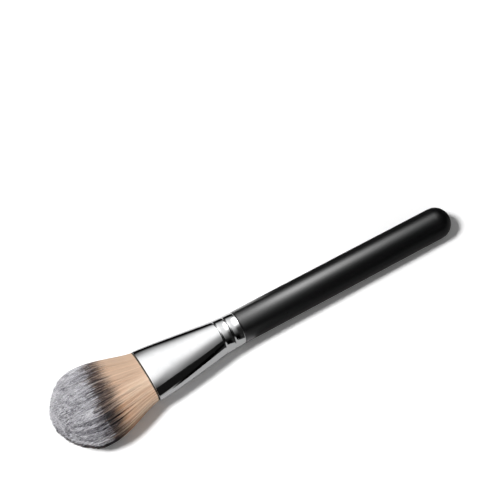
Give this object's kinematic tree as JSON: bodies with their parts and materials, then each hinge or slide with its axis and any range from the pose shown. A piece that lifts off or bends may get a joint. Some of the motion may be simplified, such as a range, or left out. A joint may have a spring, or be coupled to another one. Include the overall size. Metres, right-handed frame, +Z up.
{
  "type": "oval makeup brush",
  "caption": "Face makeup brush: a domed oval tuft of soft fibre in a flared, flattened metal ferrule, crimped onto a slim round lacquered handle.",
  "frame": {"origin": "on the surface that the brush lies on, under the middle of its length and width", "axes": "+X along the brush from the tuft towards the end of the handle, +Y across its width, +Z up through its thickness"},
  "size_m": [0.1826, 0.0341, 0.0183],
  "materials": {
    "handle_lacquer": "satin black lacquer on turned wood",
    "ferrule_plating": "polished bright plating",
    "fibre": "soft fine fibre, tan at the root, dark in the middle and pale grey at the tip",
    "thread": "twisted binding thread",
    "resin": "set clear amber resin"
  },
  "bodies": {
    "root": {"handle": "handle_lacquer", "ferrule": "ferrule_plating", "bristle_tuft": "fibre", "binding_thread": "thread", "resin_plug": "resin"}
  },
  "joints": []
}
